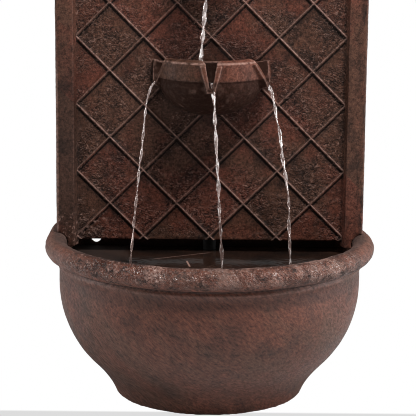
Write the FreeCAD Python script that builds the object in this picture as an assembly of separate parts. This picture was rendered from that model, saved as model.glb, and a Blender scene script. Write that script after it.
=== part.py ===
"""Garden wall fountain: a half-round basin, a lattice back panel, two spill bowls and a pump.

Millimetres, +Z up. The origin is on the ground, at the centre of the overall box.
The wall is the plane y = wall_y, and the basin bulges away from it towards -Y.
"""

import FreeCAD
import Part

import math
import os

V = FreeCAD.Vector
X_AXIS = V(1, 0, 0)
Y_AXIS = V(0, 1, 0)
Z_AXIS = V(0, 0, 1)

# Basin casting
rim_radius = 210.0  # outside of the rim, about the basin's upright axis
rim_bead_radius = 13.9
rim_centre_z = 190.0
rim_inset = 4.0  # from the bead's ring in to the outside of the wall
basin_wall = 7.0
belly_drop = 46.5  # from the rim's centre down to where the belly starts to curve in
waist_z = 44.5
waist_angle = 45.7  # how far the belly's arc has turned where the foot begins
foot_radius = 119.5
foot_lean = 20.0  # the foot's slope off the upright where it meets the ground
basin_floor = 8.0
under_bead_radius = 3.8
under_bead_drop = 21.0
under_bead_proud = 2.2
back_wall_rise = 6.0  # above the rim's centre
cord_notch_x = -149.0
cord_notch_radius = 7.0
cord_notch_depth = 16.0
ear_width = 23.0
ear_clearance = 3.0
drain_radius = 9.0
drain_forward = 60.0  # ahead of the basin's axis

# Back panel casting
panel_skin = 6.0
frame_band = 22.5
frame_bevel = 4.5
frame_edge_round = 3.0
field_recess = 12.0
field_bottom_rise = 3.0  # above the rim's centre
leg_drop = 4.0  # below the rim's centre
spring_rise = 449.0  # from the rim's centre up to where the arch springs
arch_rise = 95.0
lattice_pitch = 85.5
lattice_rise = 5.0  # from the field's bottom edge up to the lowest crossings
rib_base = 4.2
rib_crest = 1.4
rib_height = 2.2
seat_clearance = 0.3
footprint_room = 1.5  # between a bowl and the ribs that stop round it

# Spill bowls: the lower one has three lips, the upper one a single lip
lower_bowl_radius = 66.0
lower_bowl_rise = 242.5  # from the rim's centre up to the bowl's top
lower_bowl_band = 26.0
lower_bowl_upright = 6.0  # the cup's upright stretch under the band
lower_bowl_depth = 49.0
lower_bowl_straight = 13.0  # the straight stretch between the field and the half round
lower_lip_drop = 32.0
lower_lip_width = 13.0
lower_lip_corner = 6.5
lower_lip_flare = 5.0  # how much wider each side of the front lip is where it leaves the band
side_lip_width = 44.0
side_lip_corner = 4.0
side_lip_flare = 4.0
side_lip_rise = 2.0
side_lip_crest = -2.0
left_lip_angle = 84.0
left_mouth_angle = 71.0
left_lip_proud = 4.0
right_lip_angle = 77.0
right_mouth_angle = 70.0
right_lip_proud = 8.0
upper_bowl_radius = 47.0
upper_bowl_rise = 397.0
upper_bowl_band = 20.0
upper_bowl_upright = 4.0
upper_bowl_depth = 34.0
upper_bowl_straight = 13.0
upper_lip_drop = 24.0
upper_lip_width = 10.0
upper_lip_corner = 5.0
upper_lip_flare = 4.0
bowl_wall = 6.5
bowl_back = 7.0
stud_drop_share = 0.7  # of the band, from the bowl's top
bowl_back_drop = 8.0  # from the rim down to the top of the back
bowl_rim_round = 6.0
band_step = 1.5
lip_wall = 5.0
lip_proud = 8.0
lip_crest = 1.5  # how far a lip stands out at the top of the band
lip_root = 6.0  # how far the underside of a lip runs down into the cup
lip_flat = 1.6  # half the width of a lip's floor
lip_fall = 2.0  # how far the floor drops on its way out
lip_overrun = 8.0

# Water line
tube_outer = 8.0
tube_inner = 6.0
tube_room = 3.5  # between the clips' feet and the tube's clips
spout_above_bowl = 40.0
spout_outer = 7.0
spout_bore = 4.5
spout_reach = 26.0
spout_flange = 13.0
spout_flange_thick = 3.0
spout_nut_radius = 12.0
spout_nut_thick = 6.0
spout_neck = 13.0  # from the bend's centre down to the hose tail
barb_length = 20.0
barb_clearance = 0.05
clamp_wall = 1.6
clamp_height = 8.0
clamp_gap = 4.0  # between a clamp and the end of the tube
clamp_lug = 6.0
clamp_lug_width = 5.0
clamp_back_gap = 1.0
clip_heights = (109.0, 209.0, 309.0)  # above the rim's centre
clip_width = 12.0
clip_wall = 2.5
clip_base_length = 32.0
clip_base_thick = 3.0
clip_web = 8.0
clip_mouth_share = 0.7  # of the tube's diameter

# Pump
pump_width = 44.0
pump_height = 44.0
pump_corner = 6.0
motor_length = 44.0
pump_back_gap = 3.0
cup_height = 7.0
cup_radius = 9.0
cup_neck = 3.0
cup_neck_up = 6.0
cup_inset = 7.5
cup_collar = 1.0  # wider than the neck all round
cup_collar_height = 2.0
cup_lip = 1.5
gasket_land = 4.6  # from the chamber's bore to the edge of its flange
chamber_wall = 2.5
chamber_face = 3.0
chamber_length = 16.0
gasket_thick = 0.8
outlet_outer = 7.0
outlet_bore = 4.6
outlet_top = 38.0  # above the rotor's axis
nipple_flange = 9.0
nipple_flange_thick = 4.0
nipple_plug = 8.0
nipple_wall = 1.4
magnet_radius = 8.5
magnet_length = 26.0
magnet_clearance = 0.8
impeller_clearance = 1.3
spider_arms = 3
impeller_hub = 4.5
impeller_disc = 2.0
vane_count = 6
vane_thick = 1.5
vane_height = 8.0
end_play = 1.0
shaft_radius = 1.25
shaft_clearance = 0.05
bush_radius = 4.0
bush_length = 4.0
front_bush_radius = 2.8
inlet_radius = 8.5
strainer_wall = 2.5
strainer_front = 20.0  # ahead of the chamber's front face
strainer_slot = 2.6
strainer_slot_pitch = 5.2
foam_thick = 14.0
foam_gap = 1.0
dial_radius = 11.0
dial_thick = 3.0
dial_grip = 3.0
dial_spindle = 2.0
dial_clearance = 0.08
dial_gap = 0.2
dial_catch = 1.0
dial_catch_thick = 0.8
dial_window = 2.6
dial_window_ring = 0.56  # of the dial's radius
slide_clearance = 0.4
gland_radius = 5.5
gland_length = 9.0
gland_collar = 3.0
gland_bore = 3.0
gland_taper = 0.8
gland_drop = 13.0  # below the top of the housing
cable_well = 4.0

# Drain plug
plug_clearance = 0.1
plug_recess = 1.0
plug_gap = 0.3
plug_flange = 13.0
plug_flange_thick = 3.0
plug_ring_radius = 6.0
plug_ring_wire = 1.8

# Fasteners
fixing_rises = (25.0, 46.0)  # above the rim's centre
fixing_radius = 2.5
fixing_head = 5.0
fixing_length = 21.0
driver_slot = 1.2
boss_radius = 7.5
insert_radius = 4.0
insert_length = 12.0
hanger_x = 110.0
hanger_drop = 30.0  # below where the arch springs
hanger_length = 66.0
hanger_height = 28.0
hanger_thick = 1.6
hanger_inset = 3.4  # from the wall to the face of the plate
keyhole_radius = 5.0
keyhole_slot = 2.6
keyhole_rise = 9.0
hanger_screw_spacing = 48.0
hanger_screw_radius = 1.95
hanger_screw_head = 3.8
hanger_screw_head_thick = 2.2
hanger_screw_length = 14.0
stud_radius = 2.5
stud_in_bowl = 4.0
stud_behind = 10.0
stud_hole_clearance = 0.3
nut_across_flats = 8.0
nut_thick = 4.0
washer_radius = 7.0
washer_thick = 1.2

# The pump's chamber is as wide as the strainer that slides over its flange
chamber_room = min(pump_width, pump_height) / 2 - strainer_wall
chamber_flange = chamber_room - slide_clearance
chamber_radius = chamber_room - (slide_clearance + gasket_land)
outlet_offset = chamber_radius - outlet_bore

# Depths behind the panel's face, from the field's recess back to the wall
tube_depth = field_recess + panel_skin + clip_base_thick + tube_room + clip_wall + tube_outer
behind_tube = max(pump_width / 2 - outlet_offset + pump_back_gap, tube_outer + clamp_lug + clamp_back_gap)
wall_setback = tube_depth + behind_tube + basin_wall

# Places across the object, front to back
axis_y = (rim_radius - wall_setback) / 2
wall_y = axis_y + wall_setback
field_y = axis_y + field_recess
skin_back_y = field_y + panel_skin
back_wall_y = wall_y - basin_wall
tube_y = axis_y + tube_depth
pump_y = tube_y - outlet_offset

# Radii and widths that follow from the rim
rim_ring_radius = rim_radius - rim_bead_radius
belly_radius = rim_ring_radius - rim_inset
panel_half_width = rim_ring_radius
ear_outer_x = panel_half_width - panel_skin - ear_clearance
ear_inner_x = ear_outer_x - ear_width

# Heights that follow from the rim's centre
belly_z = rim_centre_z - belly_drop
under_bead_z = rim_centre_z - under_bead_drop
back_wall_top = rim_centre_z + back_wall_rise
cord_notch_bottom = back_wall_top - cord_notch_depth
field_bottom = rim_centre_z + field_bottom_rise
leg_bottom = rim_centre_z - leg_drop
arch_spring = rim_centre_z + spring_rise
lower_bowl_top = rim_centre_z + lower_bowl_rise
upper_bowl_top = rim_centre_z + upper_bowl_rise
spout_z = upper_bowl_top + spout_above_bowl
hanger_z = arch_spring - hanger_drop
fixing_zs = [rim_centre_z + rise for rise in fixing_rises]
ear_top = fixing_zs[-1] + boss_radius + ear_clearance

BIG = 2000.0


def box(x0, x1, y0, y1, z0, z1):
    return Part.makeBox(x1 - x0, y1 - y0, z1 - z0, V(x0, y0, z0))


def rod(radius, start, direction, length):
    return Part.makeCylinder(radius, length, start, direction)


def pipe(outer, inner, start, direction, length):
    return rod(outer, start, direction, length).cut(rod(inner, start, direction, length))


def hexagon(across_flats, start, direction, length):
    """A hexagonal prism that runs along Y."""
    corner = across_flats / math.sqrt(3)
    points = []
    for i in range(7):
        turn = math.radians(60 * i)
        points.append(start + V(corner * math.cos(turn), 0, corner * math.sin(turn)))
    return Part.Face(Part.makePolygon(points)).extrude(direction * length)


def fuse(first, *others):
    return first.multiFuse(list(others)).removeSplitter()


def line(start, end):
    return Part.LineSegment(start, end).toShape()


def arc(start, middle, end):
    return Part.Arc(start, middle, end).toShape()


def polar(centre, radius, degrees):
    """A point of the XZ plane at an angle above the horizontal."""
    turn = math.radians(degrees)
    return centre + V(radius * math.cos(turn), 0, radius * math.sin(turn))


def round_arc(centre, radius, from_degrees, to_degrees):
    middle = (from_degrees + to_degrees) / 2
    return arc(
        polar(centre, radius, from_degrees),
        polar(centre, radius, middle),
        polar(centre, radius, to_degrees),
    )


def bezier(*poles):
    curve = Part.BezierCurve()
    curve.setPoles(list(poles))
    return curve.toShape()


def basin_profile(inset, foot_end):
    """The floor, foot and belly, drawn in by the casting's wall, as edges that run from the axis up."""
    turn = math.radians(waist_angle)
    belly_arc = (belly_z - waist_z) / math.sin(turn)
    belly_centre = V(belly_radius - belly_arc, 0, belly_z)
    waist = polar(belly_centre, belly_arc - inset, -waist_angle)
    handle = (waist - foot_end).Length / 3
    lean = math.radians(foot_lean)
    along_foot = V(math.sin(lean), 0, math.cos(lean))
    along_belly = V(math.sin(turn), 0, math.cos(turn))
    foot = bezier(foot_end, foot_end + along_foot * handle, waist - along_belly * handle, waist)
    return [
        line(V(0, 0, foot_end.z), foot_end),
        foot,
        round_arc(belly_centre, belly_arc - inset, -waist_angle, 0),
    ]


def revolved(edges):
    """A solid of revolution about the basin's axis, closed along that axis."""
    ends = [edges[0].firstVertex().Point, edges[-1].lastVertex().Point]
    closing = line(V(0, 0, ends[1].z), V(0, 0, ends[0].z))
    face = Part.Face(Part.Wire(edges + [closing]))
    solid = face.revolve(V(0, 0, 0), Z_AXIS, 360)
    solid.translate(V(0, axis_y, 0))
    return solid


def basin_outer():
    """The basin without its hollow: foot, belly, the small bead under the rim, and the rim."""
    edges = basin_profile(0.0, V(foot_radius, 0, 0))
    under_low = V(belly_radius, 0, under_bead_z - under_bead_radius)
    under_high = V(belly_radius, 0, under_bead_z + under_bead_radius)
    under_out = V(belly_radius + under_bead_proud, 0, under_bead_z)
    ring = V(rim_ring_radius, 0, rim_centre_z)
    meet = math.degrees(math.asin(rim_inset / rim_bead_radius)) - 90
    edges += [
        line(V(belly_radius, 0, belly_z), under_low),
        arc(under_low, under_out, under_high),
        line(under_high, polar(ring, rim_bead_radius, -180 - meet)),
        round_arc(ring, rim_bead_radius, -180 - meet, 90),
        line(polar(ring, rim_bead_radius, 90), V(0, 0, rim_centre_z + rim_bead_radius)),
    ]
    return revolved(edges)


def basin_hollow():
    edges = basin_profile(basin_wall, V(foot_radius - basin_wall, 0, basin_floor))
    ring = V(rim_ring_radius, 0, rim_centre_z)
    crest = polar(ring, rim_bead_radius, 90)
    above = crest + V(0, 0, rim_bead_radius)
    edges += [
        line(V(belly_radius - basin_wall, 0, belly_z), polar(ring, rim_bead_radius, 180)),
        round_arc(ring, rim_bead_radius, 180, 90),
        line(crest, above),
        line(above, V(0, 0, above.z)),
    ]
    return revolved(edges)


def rim_seat():
    """The rim's bead with a little room round it, to shape what stands on it."""
    centre = V(0, axis_y, rim_centre_z)
    return Part.makeTorus(rim_ring_radius, rim_bead_radius + seat_clearance, centre, Z_AXIS)


def beyond(y):
    """Everything behind a plane that faces the wall."""
    return box(-BIG, BIG, y, BIG, -BIG, BIG)


def fixing_places():
    return [(side * (ear_inner_x + ear_outer_x) / 2, z) for side in (-1, 1) for z in fixing_zs]


def countersink(x, z):
    depth = fixing_head - fixing_radius
    return Part.makeCone(
        fixing_radius, fixing_head, depth, V(x, wall_y - depth, z), Y_AXIS
    )


def make_basin():
    shell = basin_outer().cut(beyond(wall_y))
    shell = shell.cut(basin_hollow().cut(beyond(back_wall_y)))
    lowered = box(-ear_inner_x, ear_inner_x, back_wall_y - 1, wall_y + 1, back_wall_top, BIG)
    shell = shell.cut(lowered)
    for side in (-1, 1):
        xs = sorted((side * ear_inner_x, side * ear_outer_x))
        ear = box(xs[0], xs[1], back_wall_y, wall_y, rim_centre_z, ear_top)
        shell = shell.fuse(ear)
    notch_centre = cord_notch_bottom + cord_notch_radius
    notch = rod(cord_notch_radius, V(cord_notch_x, back_wall_y - 1, notch_centre), Y_AXIS, basin_wall + 2)
    slot = box(
        cord_notch_x - cord_notch_radius,
        cord_notch_x + cord_notch_radius,
        back_wall_y - 1,
        wall_y + 1,
        notch_centre,
        BIG,
    )
    shell = shell.cut(notch).cut(slot)
    shell = shell.cut(rod(drain_radius, V(0, axis_y - drain_forward, -1), Z_AXIS, basin_floor + 2))
    for x, z in fixing_places():
        start = V(x, back_wall_y - 1, z)
        shell = shell.cut(rod(fixing_radius + barb_clearance, start, Y_AXIS, basin_wall + 2))
        shell = shell.cut(countersink(x, z))
    return shell.removeSplitter()


def arch_outline(y, inset, bottom):
    """The panel's outline in a plane of constant y, drawn in by inset, with an arched head."""
    half = panel_half_width - inset
    radius = (panel_half_width**2 + arch_rise**2) / (2 * arch_rise)
    centre_z = arch_spring + arch_rise - radius
    inner = radius - inset
    spring = centre_z + math.sqrt(inner**2 - half**2)
    low_left = V(-half, y, bottom)
    low_right = V(half, y, bottom)
    left = V(-half, y, spring)
    right = V(half, y, spring)
    crown = V(0, y, centre_z + inner)
    return Part.Wire(
        [line(low_left, left), arc(left, crown, right), line(right, low_right), line(low_right, low_left)]
    )


def arch_slab(y0, y1, inset, bottom):
    return Part.Face(arch_outline(y0, inset, bottom)).extrude(V(0, y1 - y0, 0))


def field_opening():
    """The recess in front of the lattice field, with its sloping sides."""
    shallow = arch_outline(axis_y - 1, frame_band - frame_bevel / field_recess, leg_bottom - 1)
    deep = arch_outline(field_y, frame_band + frame_bevel, leg_bottom - 1)
    return Part.makeLoft([shallow, deep], True, True)


def rib(x, z, direction):
    """One rib of the lattice: a low bar with sloping sides at 45 degrees through a lattice point."""
    across = V(math.cos(math.radians(45)), 0, -direction * math.sin(math.radians(45)))
    along = V(math.sin(math.radians(45)), 0, direction * math.cos(math.radians(45)))
    centre = V(x, field_y, z)
    reach = 2 * (arch_spring + arch_rise)
    out = V(0, -rib_height, 0)
    sunk = V(0, 0.5, 0)
    start = centre - along * (reach / 2)
    section = [
        start - across * (rib_base / 2) + sunk,
        start - across * (rib_base / 2),
        start - across * (rib_crest / 2) + out,
        start + across * (rib_crest / 2) + out,
        start + across * (rib_base / 2),
        start + across * (rib_base / 2) + sunk,
    ]
    return Part.Face(Part.makePolygon(section + section[:1])).extrude(along * reach)


def lattice():
    """Both families of ribs, trimmed to the field and kept off the bowls and the spout."""
    ribs = []
    rows = math.ceil((arch_spring + arch_rise - field_bottom) / lattice_pitch) + 2
    for row in range(-2, rows + 1):
        for direction in (-1, 1):
            ribs.append(rib(0, field_bottom + lattice_rise + row * lattice_pitch, direction))
    web = ribs[0].multiFuse(ribs[1:])
    inside = arch_slab(field_y - rib_height - 1, field_y + 1, frame_band + frame_bevel, field_bottom)
    web = web.common(inside)
    keep_off = [rod(spout_flange + 2, V(0, field_y - 5, spout_z), Y_AXIS, 10)]
    for bowl in (LOWER_BOWL, UPPER_BOWL):
        keep_off += bowl_footprint(bowl)
    for shape in keep_off:
        web = web.cut(shape)
    return web


def make_panel():
    body = arch_slab(axis_y, wall_y, 0, leg_bottom)
    front = [e for e in body.Edges if all(abs(v.Point.y - axis_y) < 0.01 for v in e.Vertexes)]
    front = [e for e in front if e.CenterOfMass.z > leg_bottom + 1]
    body = body.makeFillet(frame_edge_round, front)
    body = body.cut(field_opening())
    body = body.cut(arch_slab(skin_back_y, wall_y + 1, panel_skin, leg_bottom - 1))
    half_field = panel_half_width - frame_band - frame_bevel
    body = body.cut(box(-half_field, half_field, axis_y - 1, wall_y + 1, leg_bottom - 1, field_bottom))
    body = body.cut(rim_seat())
    body = body.fuse(lattice())
    bosses = [boss_rod(x, z, back_wall_y) for x, z in fixing_places()]
    bosses += [boss_rod(x, z, hanger_y()) for x, z in hanger_screw_places()]
    body = fuse(body, *bosses)
    for x, z in fixing_places():
        body = body.cut(rod(insert_radius, V(x, back_wall_y - insert_length, z), Y_AXIS, insert_length + 1))
        start = V(x, wall_y - fixing_length - 1, z)
        body = body.cut(rod(fixing_radius + barb_clearance, start, Y_AXIS, fixing_length))
    for x, z in hanger_screw_places():
        pilot = hanger_screw_length + 1
        body = body.cut(rod(hanger_screw_radius, V(x, hanger_y() - pilot, z), Y_AXIS, pilot + 1))
    for bowl in (LOWER_BOWL, UPPER_BOWL):
        for x, z in stud_places(bowl):
            start = V(x, field_y - 1, z)
            body = body.cut(rod(stud_radius + stud_hole_clearance, start, Y_AXIS, panel_skin + 2))
    body = body.cut(rod(spout_outer + barb_clearance, V(0, field_y - 5, spout_z), Y_AXIS, panel_skin + 10))
    return body.removeSplitter()


def boss_rod(x, z, end_y):
    return rod(boss_radius, V(x, skin_back_y - 1, z), Y_AXIS, end_y - skin_back_y + 1)


def hanger_y():
    return wall_y - hanger_inset - hanger_thick


def hanger_screw_places():
    return [
        (side * hanger_x + end * hanger_screw_spacing / 2, hanger_z)
        for side in (-1, 1)
        for end in (-1, 1)
    ]


class Lip:
    """The sizes of one pinched lip: where it points, where its mouth faces, its throat and its reach."""

    def __init__(self, angle, mouth, width, corner, drop, flare, crest, proud):
        self.angle = angle
        self.mouth = mouth
        self.half = width / 2
        self.corner = corner
        self.drop = drop
        self.flare = flare
        self.crest = crest
        self.proud = proud


class Bowl:
    """The sizes of one spill bowl."""

    def __init__(self, radius, top, band, upright, depth, straight, lips):
        self.radius = radius
        self.top = top
        self.shoulder = top - band
        self.upright = upright
        self.depth = depth
        self.centre_y = field_y - straight
        self.stud_z = top - band * stud_drop_share
        self.lips = lips


def side_lip(angle, mouth, proud):
    drop = lower_lip_drop - side_lip_rise
    return Lip(angle, mouth, side_lip_width, side_lip_corner, drop, side_lip_flare, side_lip_crest, proud)


LOWER_BOWL = Bowl(
    lower_bowl_radius,
    lower_bowl_top,
    lower_bowl_band,
    lower_bowl_upright,
    lower_bowl_depth,
    lower_bowl_straight,
    [
        side_lip(-left_lip_angle, -left_mouth_angle, left_lip_proud),
        Lip(0, 0, lower_lip_width, lower_lip_corner, lower_lip_drop, lower_lip_flare, lip_crest, lip_proud),
        side_lip(right_lip_angle, right_mouth_angle, right_lip_proud),
    ],
)
UPPER_BOWL = Bowl(
    upper_bowl_radius,
    upper_bowl_top,
    upper_bowl_band,
    upper_bowl_upright,
    upper_bowl_depth,
    upper_bowl_straight,
    [Lip(0, 0, upper_lip_width, upper_lip_corner, upper_lip_drop, upper_lip_flare, lip_crest, lip_proud)],
)


def quarter_ellipse(centre, across, down):
    """From the bottom of an ellipse to its right-hand end, as a curve in the XZ plane."""
    if across >= down:
        whole = Part.Ellipse(centre + V(across, 0, 0), centre + V(0, 0, down), centre)
        ends = (1.5 * math.pi, 2 * math.pi)
    else:
        whole = Part.Ellipse(centre + V(0, 0, down), centre - V(across, 0, 0), centre)
        ends = (math.pi, 1.5 * math.pi)
    return Part.ArcOfEllipse(whole, *ends).toShape()


def bowl_section(bowl, inset, round_top):
    """Half of the bowl's section: lower cup, step, band and top, ending on the bowl's middle line."""
    waist = V(0, 0, bowl.shoulder - bowl.upright)
    cup_radius_out = bowl.radius - band_step - inset
    cup = quarter_ellipse(waist, cup_radius_out, bowl.depth - bowl.upright - inset)
    low = V(cup_radius_out, 0, bowl.shoulder)
    edges = [cup, line(waist + V(cup_radius_out, 0, 0), low)]
    if round_top:
        step = V(bowl.radius - inset, 0, bowl.shoulder)
        corner = V(step.x - bowl_rim_round, 0, bowl.top - bowl_rim_round)
        high = corner + V(0, 0, bowl_rim_round)
        edges.append(line(low, step))
        edges.append(line(step, corner + V(bowl_rim_round, 0, 0)))
        edges.append(round_arc(corner, bowl_rim_round, 0, 90))
    else:
        high = V(low.x, 0, bowl.top + 1)
        edges.append(line(low, high))
    edges.append(line(high, V(0, 0, high.z)))
    edges.append(line(V(0, 0, high.z), V(0, 0, bowl.shoulder - bowl.depth + inset)))
    return Part.Face(Part.Wire(edges))


def bowl_solid(bowl, inset, back_y, round_top):
    """A half round in front of the bowl's centre, and its section carried straight back to back_y."""
    section = bowl_section(bowl, inset, round_top)
    mirror = section.mirror(V(0, 0, 0), X_AXIS)
    round_part = mirror.revolve(V(0, 0, 0), Z_AXIS, 180)
    round_part.translate(V(0, bowl.centre_y, 0))
    straight = []
    for half in (section, mirror):
        moved = half.copy()
        moved.translate(V(0, bowl.centre_y, 0))
        straight.append(moved.extrude(V(0, back_y - bowl.centre_y, 0)))
    return fuse(round_part, *straight)


def throat_wire(y, top, floor, half, flat, corner):
    """A V with rounded shoulders in a plane of constant y: the section of a lip's channel."""
    right = [V(flat, y, floor), V(half, y, top - corner)]
    shoulder = V(half + corner, y, top - corner)
    crest = shoulder + V(0, 0, corner)
    slope = math.radians(135)
    middle = shoulder + V(corner * math.cos(slope), 0, corner * math.sin(slope))
    above = crest + V(0, 0, corner)
    edges = [line(right[0], right[1]), arc(right[1], middle, crest), line(crest, above)]
    mirrored = [e.mirror(V(0, y, 0), X_AXIS) for e in edges]
    across = line(above, V(-above.x, y, above.z))
    under = line(V(-flat, y, floor), V(flat, y, floor))
    return Part.Wire(Part.__sortEdges__([under] + edges + [across] + mirrored))


def beak_wire(y, top, floor, half, flat):
    points = [V(-half, y, top), V(half, y, top), V(flat, y, floor), V(-flat, y, floor)]
    return Part.makePolygon(points + points[:1])


def lip_trim(bowl, lip):
    """What is cut off a lip's outer end: it leans out from the band's top to the lip's full reach."""
    top_y = bowl.centre_y - bowl.radius - lip.crest
    low_y = bowl.centre_y - bowl.radius - lip.proud
    low_z = bowl.top - lip.drop
    bottom_z = bowl.top - 3 * lip.drop
    points = [
        V(-BIG, top_y, bowl.top + 1),
        V(-BIG, low_y, low_z),
        V(-BIG, low_y, bottom_z),
        V(-BIG, low_y - BIG, bottom_z),
        V(-BIG, low_y - BIG, bowl.top + 1),
    ]
    return Part.Face(Part.makePolygon(points + points[:1])).extrude(V(2 * BIG, 0, 0))


def lip_shapes(bowl, lip):
    """The beak of one lip and the channel through it, turned to its place round the bowl."""
    floor = bowl.top - lip.drop
    under = floor - lip_wall
    inner_y = bowl.centre_y - bowl.radius + 2 * bowl_wall
    outer_y = bowl.centre_y - bowl.radius - lip.proud - lip_overrun
    half = lip.half + lip_wall
    flat = lip_flat + lip_wall / 2
    beak_top = bowl.top - bowl_rim_round
    root = beak_wire(inner_y, beak_top, under - lip_root, half + lip.flare, flat + lip.flare / 2)
    tip = beak_wire(outer_y, beak_top, under, half, flat)
    beak = Part.makeLoft([root, tip], True, True)
    back_y = inner_y + lip_overrun
    channel = Part.makeLoft(
        [
            throat_wire(back_y, bowl.top, floor, lip.half, lip_flat, lip.corner),
            throat_wire(outer_y, bowl.top, floor - lip_fall, lip.half, lip_flat, lip.corner),
        ],
        True,
        True,
    )
    trim = lip_trim(bowl, lip)
    axis = V(0, bowl.centre_y, 0)
    beak.rotate(axis, Z_AXIS, lip.angle)
    channel.rotate(axis, Z_AXIS, lip.angle)
    trim.rotate(axis, Z_AXIS, lip.mouth)
    return beak.cut(trim), channel


def bowl_footprint(bowl):
    """What the bowl's back covers on the field, with a little room round it."""
    side = bowl.radius + footprint_room
    waist_z = bowl.shoulder - bowl.upright
    front_y = field_y - 2 * rib_height
    deep = bowl.depth - bowl.upright + footprint_room
    through = V(0, 4 * rib_height, 0)
    centre = V(0, front_y, waist_z)
    if side >= deep:
        ring = Part.Ellipse(centre + V(side, 0, 0), centre + V(0, 0, deep), centre)
    else:
        ring = Part.Ellipse(centre + V(0, 0, deep), centre + V(side, 0, 0), centre)
    cup = Part.Face(Part.Wire(ring.toShape())).extrude(through)
    top = bowl.top - bowl_back_drop + footprint_room
    band = box(-side, side, front_y, front_y + through.y, waist_z, top)
    return [cup, band]


def stud_places(bowl):
    return [(side * bowl.radius / 2, bowl.stud_z) for side in (-1, 1)]


def make_bowl(bowl):
    body = bowl_solid(bowl, 0.0, field_y, True)
    channels = []
    for lip in bowl.lips:
        beak, channel = lip_shapes(bowl, lip)
        body = body.fuse(beak)
        channels.append(channel)
    inner_back = field_y - bowl_back
    body = body.cut(bowl_solid(bowl, bowl_wall, inner_back, False))
    keep_back = beyond(inner_back)
    for channel in channels:
        body = body.cut(channel.cut(keep_back))
    side = bowl.radius + 1
    body = body.cut(box(-side, side, inner_back, field_y + 1, bowl.top - bowl_back_drop, bowl.top + 1))
    body = body.cut(beyond(field_y))
    for x, z in stud_places(bowl):
        body = body.cut(rod(stud_radius, V(x, field_y - stud_in_bowl, z), Y_AXIS, stud_in_bowl + 1))
    return body.removeSplitter()


def stud_sets():
    """Studs, washers and nuts that hold both bowls to the panel."""
    studs = []
    washers = []
    nuts = []
    for bowl in (LOWER_BOWL, UPPER_BOWL):
        for x, z in stud_places(bowl):
            start = V(x, field_y - stud_in_bowl, z)
            studs.append(rod(stud_radius, start, Y_AXIS, stud_in_bowl + panel_skin + stud_behind))
            seat = V(x, skin_back_y, z)
            washers.append(pipe(washer_radius, stud_radius, seat, Y_AXIS, washer_thick))
            on_washer = V(x, skin_back_y + washer_thick, z)
            nut = hexagon(nut_across_flats, on_washer, Y_AXIS, nut_thick)
            nuts.append(nut.cut(rod(stud_radius, on_washer, Y_AXIS, nut_thick)))
    return studs, washers, nuts


def make_fixings():
    """Countersunk screws from the wall side, through the basin's ears, into inserts in the panel."""
    screws = []
    inserts = []
    half = fixing_head - driver_slot
    for x, z in fixing_places():
        shank = rod(fixing_radius, V(x, wall_y - fixing_length, z), Y_AXIS, fixing_length)
        low = z - driver_slot / 2
        slot = box(x - half, x + half, wall_y - driver_slot, wall_y + 1, low, low + driver_slot)
        screws.append(shank.fuse(countersink(x, z)).cut(slot).removeSplitter())
        inserts.append(
            pipe(insert_radius, fixing_radius, V(x, back_wall_y - insert_length, z), Y_AXIS, insert_length)
        )
    return screws, inserts


def make_hangers():
    plates = []
    screws = []
    y = hanger_y()
    for side in (-1, 1):
        x = side * hanger_x
        half = hanger_length / 2
        low = hanger_z - hanger_height / 2
        plate = box(x - half, x + half, y, y + hanger_thick, low, low + hanger_height)
        corners = [e for e in plate.Edges if abs(e.tangentAt(e.FirstParameter).y) > 0.9]
        plate = plate.makeFillet(hanger_height / 4, corners)
        low = V(x, y, hanger_z - keyhole_rise / 2)
        high = V(x, y, hanger_z + keyhole_rise / 2)
        plate = plate.cut(rod(keyhole_radius, low, Y_AXIS, hanger_thick))
        plate = plate.cut(rod(keyhole_slot, high, Y_AXIS, hanger_thick))
        plate = plate.cut(box(x - keyhole_slot, x + keyhole_slot, y, y + hanger_thick, low.z, high.z))
        plates.append(plate)
    for x, z in hanger_screw_places():
        for i, plate in enumerate(plates):
            plates[i] = plate.cut(rod(hanger_screw_radius, V(x, y, z), Y_AXIS, hanger_thick))
        start = V(x, y - hanger_screw_length, z)
        shank = rod(hanger_screw_radius, start, Y_AXIS, hanger_screw_length + hanger_thick)
        head = rod(hanger_screw_head, V(x, y + hanger_thick, z), Y_AXIS, hanger_screw_head_thick)
        screws.append(shank.fuse(head).removeSplitter())
    return plates, screws


def make_spout():
    """A bent fitting: a hose tail that points down, a flange behind the panel and an outlet in front."""
    corner = V(0, tube_y, spout_z)
    down = V(0, 0, -1)
    outside = fuse(
        Part.makeSphere(spout_outer, corner),
        rod(spout_outer, corner, down, spout_neck),
        rod(tube_inner - barb_clearance, corner + down * spout_neck, down, barb_length),
        rod(spout_outer, corner, -Y_AXIS, tube_y - field_y + spout_reach),
        rod(spout_flange, V(0, skin_back_y, spout_z), Y_AXIS, spout_flange_thick),
    )
    inside = fuse(
        Part.makeSphere(spout_bore, corner),
        rod(spout_bore, corner, down, spout_neck + barb_length + 1),
        rod(spout_bore, corner, -Y_AXIS, tube_y - field_y + spout_reach + 1),
    )
    return outside.cut(inside)


def make_spout_nut():
    start = V(0, field_y - spout_nut_thick, spout_z)
    nut = hexagon(2 * spout_nut_radius * math.cos(math.radians(30)), start, Y_AXIS, spout_nut_thick)
    return nut.cut(rod(spout_outer, start, Y_AXIS, spout_nut_thick))


def tube_top():
    return spout_z - spout_neck


def make_tube():
    low = nipple_top()
    return pipe(tube_outer, tube_inner, V(0, tube_y, low), Z_AXIS, tube_top() - low)


def make_clamps():
    places = (nipple_top() + clamp_gap, tube_top() - clamp_gap - clamp_height)
    half = clamp_lug_width / 2
    lug_y = tube_y + tube_outer + clamp_wall / 2
    rings = []
    for z in places:
        ring = pipe(tube_outer + clamp_wall, tube_outer, V(0, tube_y, z), Z_AXIS, clamp_height)
        lug = box(-half, half, lug_y, tube_y + tube_outer + clamp_lug, z, z + clamp_height)
        rings.append(ring.fuse(lug).removeSplitter())
    return rings


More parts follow.
